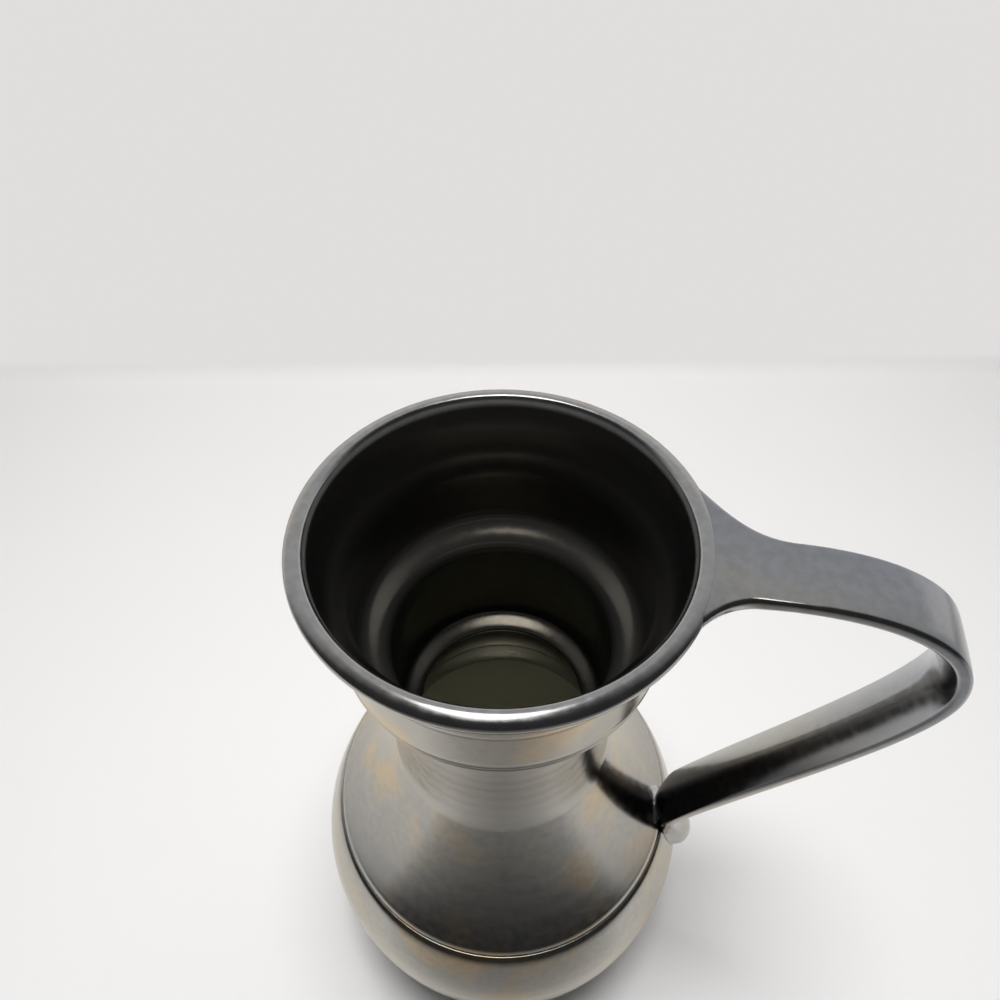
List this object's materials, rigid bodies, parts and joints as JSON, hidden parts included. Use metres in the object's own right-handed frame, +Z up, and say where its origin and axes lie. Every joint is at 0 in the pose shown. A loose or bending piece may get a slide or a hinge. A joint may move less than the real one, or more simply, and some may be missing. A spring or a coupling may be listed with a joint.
{
  "type": "pitcher",
  "caption": "Round-bellied ceramic pitcher in dark metallic lustre glaze, with a cone shoulder, a collared flared mouth and a strap handle from lip to belly; holds and pours liquid.",
  "frame": {"origin": "centre of the foot ring, on the plane that the jug stands on", "axes": "+Z up along the jug's axis, +X towards the handle"},
  "size_m": [0.1638, 0.124, 0.2299],
  "materials": {
    "vessel_lustre": "satin metallic lustre",
    "handle_lustre": "satin metallic lustre",
    "coil_lustre": "satin metallic lustre"
  },
  "bodies": {
    "root": {"lower_body": "vessel_lustre", "shoulder": "vessel_lustre", "neck_and_mouth": "vessel_lustre", "handle": "handle_lustre", "upper_luting_coil": "coil_lustre", "lower_luting_coil": "coil_lustre"}
  },
  "joints": []
}
